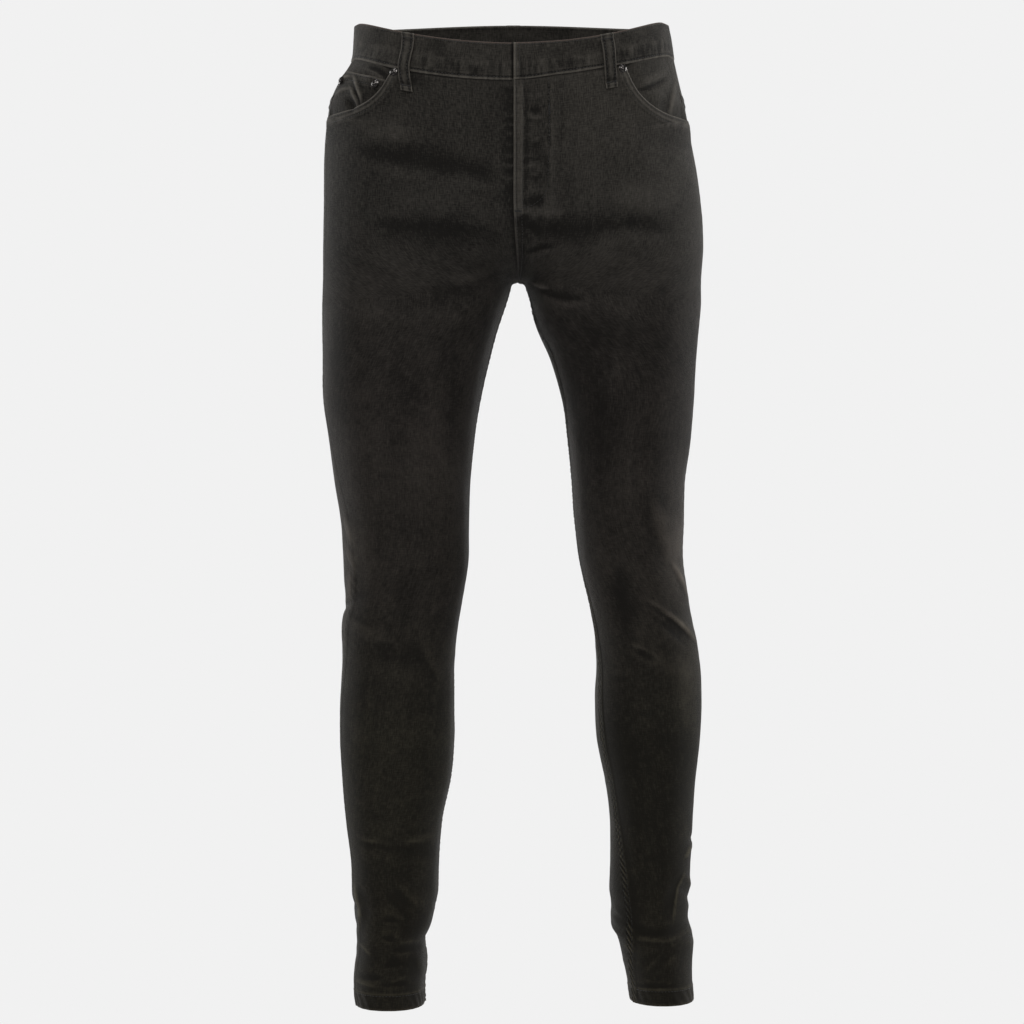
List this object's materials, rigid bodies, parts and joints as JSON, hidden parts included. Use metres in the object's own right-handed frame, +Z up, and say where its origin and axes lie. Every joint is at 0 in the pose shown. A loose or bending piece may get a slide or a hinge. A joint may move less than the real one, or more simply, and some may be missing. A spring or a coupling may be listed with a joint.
{
  "type": "skinny jeans",
  "caption": "Slim-legged denim jeans with a button fly, filled out and hollow: a trunk that divides into open tapering legs.",
  "frame": {"origin": "middle of the waist opening, level with the waistband's top edge at the sides, where the wearer's waist holds the jeans up", "axes": "+Z up along the wearer, -Y to the wearer's front, +X to the wearer's left"},
  "size_m": [0.3997, 0.2659, 1.0516],
  "materials": {
    "denim": "washed black denim, matt",
    "facing_denim": "washed black denim, matt, a little darker",
    "gunmetal": "dark gunmetal, semi-gloss"
  },
  "bodies": {
    "root": {"front_right": "denim", "back_right": "denim", "yoke_right": "denim", "waistband_right": "denim", "back_pocket_right": "denim", "pocket_facing_right": "facing_denim", "front_left": "denim", "back_left": "denim", "yoke_left": "denim", "waistband_left": "denim", "back_pocket_left": "denim", "pocket_facing_left": "facing_denim", "fly_stand": "denim", "coin_pocket": "facing_denim", "belt_loop_1": "denim", "belt_loop_2": "denim", "belt_loop_3": "denim", "belt_loop_4": "denim", "belt_loop_5": "denim", "rivet_1": "gunmetal", "rivet_2": "gunmetal", "rivet_3": "gunmetal", "rivet_4": "gunmetal", "stud_1": "gunmetal", "stud_2": "gunmetal", "stud_3": "gunmetal"}
  },
  "joints": []
}
